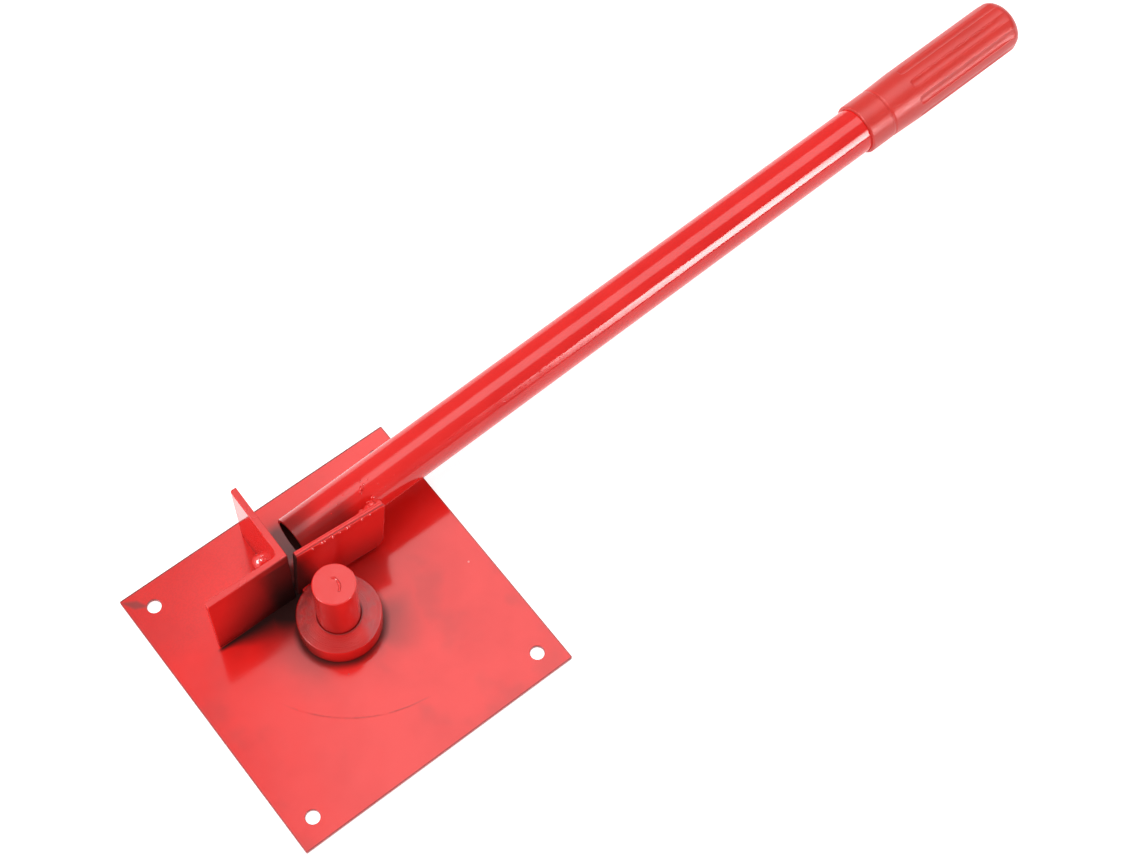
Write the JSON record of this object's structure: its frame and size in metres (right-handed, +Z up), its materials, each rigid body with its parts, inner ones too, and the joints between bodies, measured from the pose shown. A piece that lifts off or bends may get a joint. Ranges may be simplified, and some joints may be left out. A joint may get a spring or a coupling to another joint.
{
  "type": "manual rod bender",
  "caption": "Bench-mounted manual bender: square base with an upright angle stop and a pivot post, and a long swinging arm with a bending plate, tube handle and fluted grip.",
  "frame": {"origin": "centre of the rectangle of base bolt holes, on the base plate's underside", "axes": "+X along the handle in its start position, towards the grip; +Y from the pivot post towards the stop; +Z up"},
  "size_m": [0.7112, 0.2, 0.0754],
  "materials": {
    "paint": "gloss",
    "weld_paint": "gloss",
    "grip_plastic": "semi-gloss"
  },
  "bodies": {
    "base": {"base_plate": "paint", "post_weld_ring": "weld_paint", "pivot_post": "paint", "stop_angle": "paint", "stop_weld_rear_bead": "weld_paint", "stop_weld_front_bead": "weld_paint"},
    "arm": {"hub_ring": "paint", "hub_weld_left": "weld_paint", "hub_weld_right": "weld_paint", "bending_bracket": "paint", "tube_weld_start": "weld_paint", "tube_weld_end": "weld_paint", "handle_tube": "paint", "handle_grip": "grip_plastic"}
  },
  "joints": [
    {"name": "arm_swing", "type": "hinge", "parent": "base", "child": "arm", "pos_m": [0.0005, 0.0058, 0.003], "axis": [0, 0, 1], "range_deg": [-229, 0.5]}
  ]
}
